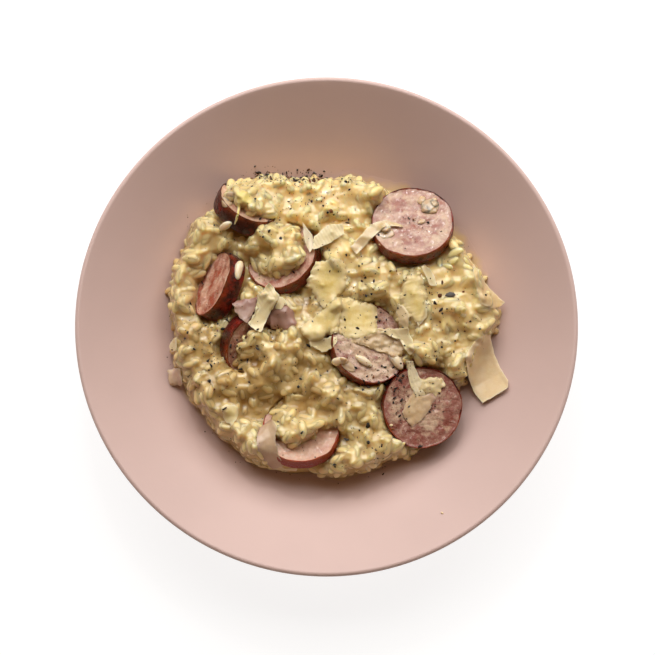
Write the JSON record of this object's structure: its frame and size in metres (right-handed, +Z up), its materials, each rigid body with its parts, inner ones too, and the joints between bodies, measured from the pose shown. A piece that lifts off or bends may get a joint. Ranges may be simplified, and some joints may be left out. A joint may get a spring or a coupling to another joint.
{
  "type": "sausage risotto",
  "caption": "Sausage risotto on a deep coupe plate: a heap of creamy rice with slices of smoked sausage, shavings of hard cheese and cracked pepper.",
  "frame": {"origin": "centre of the plate's foot ring, on the surface it stands on", "axes": "+Z up along the plate's axis, -Y towards the viewer"},
  "size_m": [0.2398, 0.2398, 0.0399],
  "materials": {
    "plate_glaze": "satin",
    "risotto": "gloss",
    "sausage": "satin",
    "cheese": "satin"
  },
  "bodies": {
    "root": {"plate": "plate_glaze", "risotto": "risotto", "sausage_slice_1": "sausage", "sausage_slice_2": "sausage", "sausage_slice_3": "sausage", "sausage_slice_4": "sausage", "sausage_slice_5": "sausage", "sausage_slice_6": "sausage", "sausage_slice_7": "sausage", "sausage_slice_8": "sausage", "cheese_shaving_1": "cheese", "cheese_shaving_2": "cheese", "cheese_shaving_3": "cheese", "cheese_shaving_4": "cheese", "cheese_shaving_5": "cheese", "cheese_shaving_6": "cheese", "cheese_shaving_7": "cheese", "cheese_shaving_8": "cheese", "cheese_shaving_9": "cheese", "cheese_shaving_10": "cheese", "cheese_shaving_11": "cheese", "cheese_shaving_12": "cheese", "cheese_shaving_13": "cheese", "cheese_shaving_14": "cheese"}
  },
  "joints": []
}
